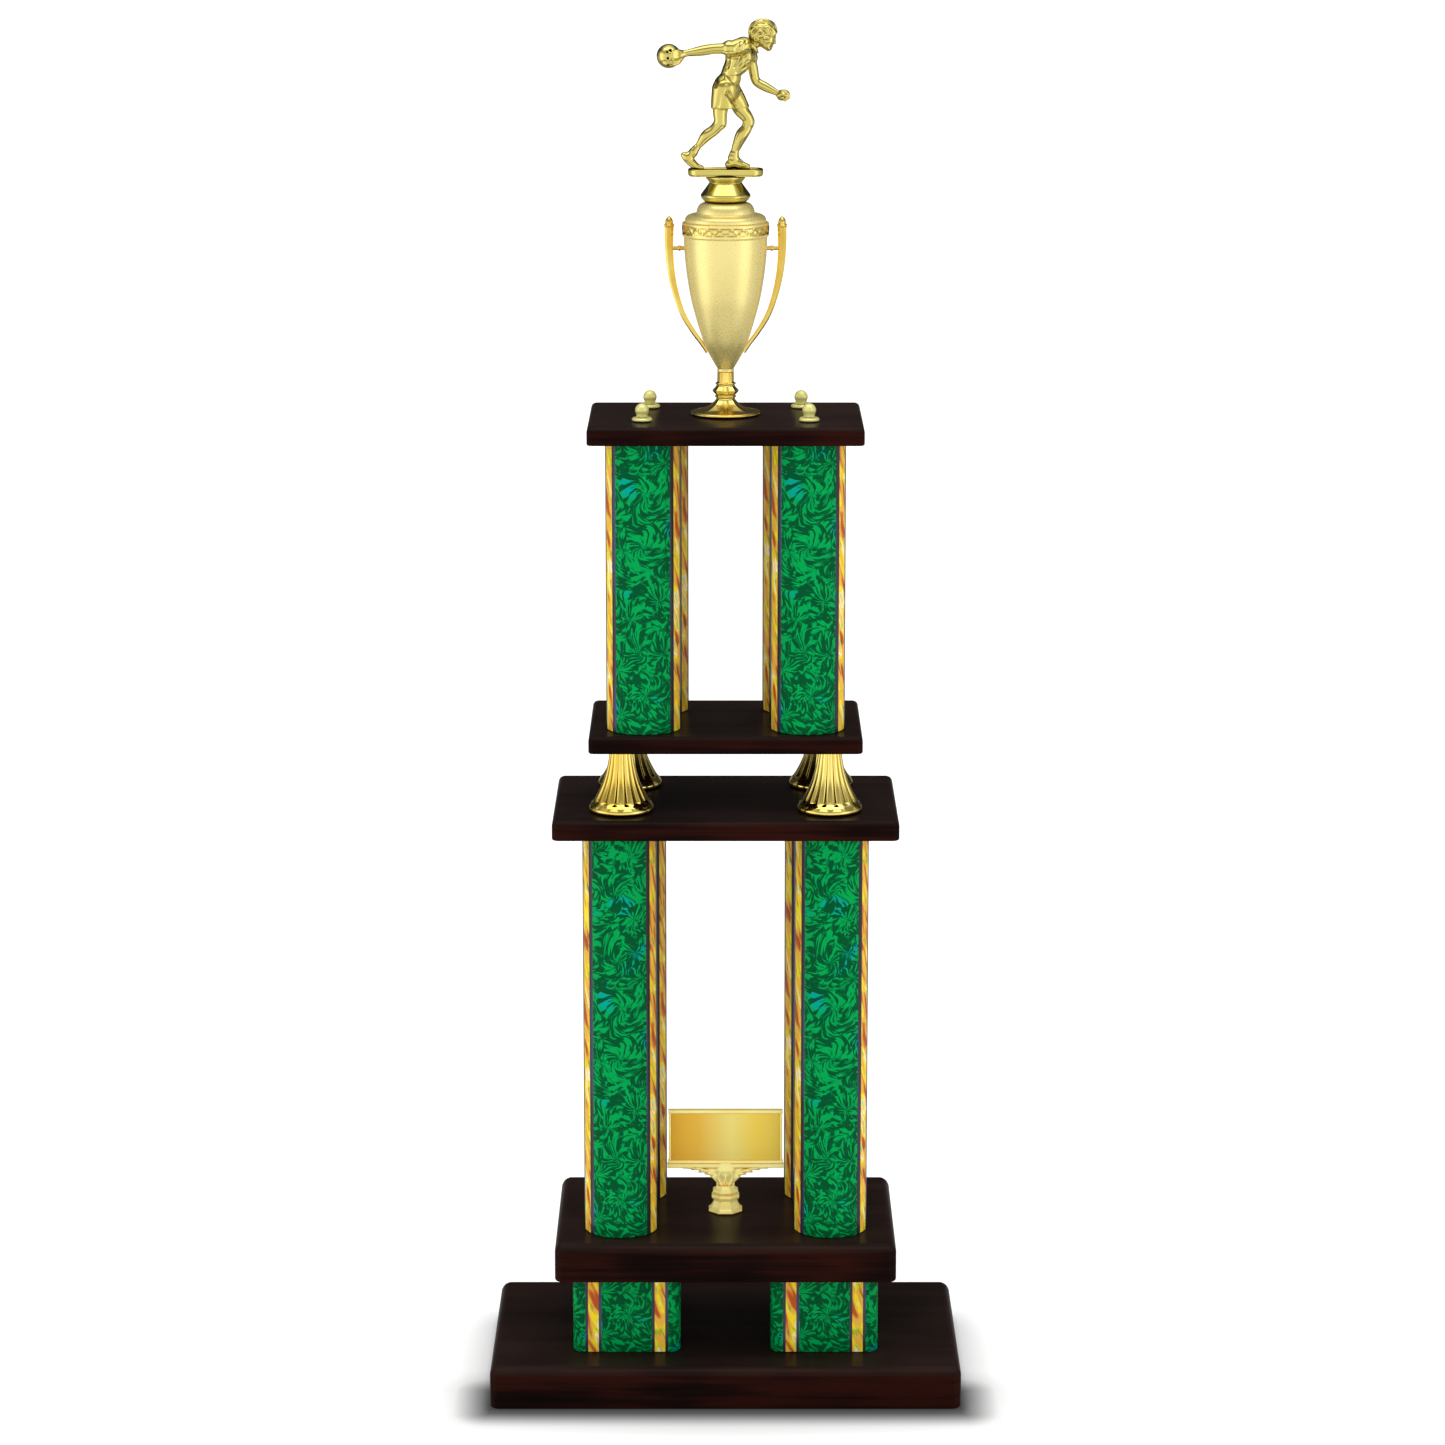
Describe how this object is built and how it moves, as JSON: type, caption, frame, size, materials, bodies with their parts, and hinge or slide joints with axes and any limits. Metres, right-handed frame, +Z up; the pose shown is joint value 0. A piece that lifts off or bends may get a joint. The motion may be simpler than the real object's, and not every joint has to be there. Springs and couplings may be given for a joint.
{
  "type": "bowling trophy",
  "caption": "Tall two-tier trophy: wooden decks on round posts and trumpet spacers, a lidded two-handled cup, and a bowler figure on top.",
  "frame": {"origin": "middle of the base's underside", "axes": "+Z up; the front, with the plaque, faces -Y; the bowler walks towards +X"},
  "size_m": [0.373, 0.216, 1.0833],
  "materials": {
    "board_wood": "dark mahogany under a high-gloss lacquer",
    "post_film": "green marbled film with prismatic gold and dark stripes, gloss",
    "spacer_gold": "bright metallised gold",
    "rod_zinc": "zinc-plated steel",
    "finial_gold": "pale metallised gold, satin",
    "cup_gold": "satin pale gold",
    "figure_gold": "polished metallised gold",
    "plaque_gold": "pale gold with antiqued relief",
    "plate_brass": "satin gold, blank"
  },
  "bodies": {
    "trophy": {"base_board": "board_wood", "lower_deck": "board_wood", "middle_deck": "board_wood", "upper_deck": "board_wood", "top_deck": "board_wood", "riser_front_left": "post_film", "riser_front_right": "post_film", "riser_rear_left": "post_film", "riser_rear_right": "post_film", "lower_post_front_left": "post_film", "lower_post_front_right": "post_film", "lower_post_rear_left": "post_film", "lower_post_rear_right": "post_film", "upper_post_front_left": "post_film", "upper_post_front_right": "post_film", "upper_post_rear_left": "post_film", "upper_post_rear_right": "post_film", "bell_front_left": "spacer_gold", "bell_front_right": "spacer_gold", "bell_rear_left": "spacer_gold", "bell_rear_right": "spacer_gold", "lower_rod_front_left": "rod_zinc", "lower_rod_front_right": "rod_zinc", "lower_rod_rear_left": "rod_zinc", "lower_rod_rear_right": "rod_zinc", "upper_rod_front_left": "rod_zinc", "upper_rod_front_right": "rod_zinc", "upper_rod_rear_left": "rod_zinc", "upper_rod_rear_right": "rod_zinc", "base_nut_front_left": "rod_zinc", "base_nut_front_right": "rod_zinc", "base_nut_rear_left": "rod_zinc", "base_nut_rear_right": "rod_zinc", "deck_nut_front_left": "rod_zinc", "deck_nut_front_right": "rod_zinc", "deck_nut_rear_left": "rod_zinc", "deck_nut_rear_right": "rod_zinc", "upper_nut_front_left": "rod_zinc", "upper_nut_front_right": "rod_zinc", "upper_nut_rear_left": "rod_zinc", "upper_nut_rear_right": "rod_zinc", "cup_bolt": "rod_zinc", "plaque_screw": "rod_zinc", "finial_washer_front_left": "finial_gold", "finial_washer_front_right": "finial_gold", "finial_washer_rear_left": "finial_gold", "finial_washer_rear_right": "finial_gold", "finial_ball_front_left": "finial_gold", "finial_ball_front_right": "finial_gold", "finial_ball_rear_left": "finial_gold", "finial_ball_rear_right": "finial_gold", "cup_foot": "cup_gold", "cup_bowl": "cup_gold", "cup_cover": "cup_gold", "cup_handle_left": "cup_gold", "cup_handle_right": "cup_gold", "figure_riser": "figure_gold", "plaque_holder": "plaque_gold", "engraving_plate": "plate_brass"},
    "figure": {"bowler_figure": "figure_gold"}
  },
  "joints": [
    {"name": "figure_turn", "type": "hinge", "parent": "trophy", "child": "figure", "pos_m": [0, 0, 0.9627], "axis": [0, 0, 1], "continuous": true}
  ]
}
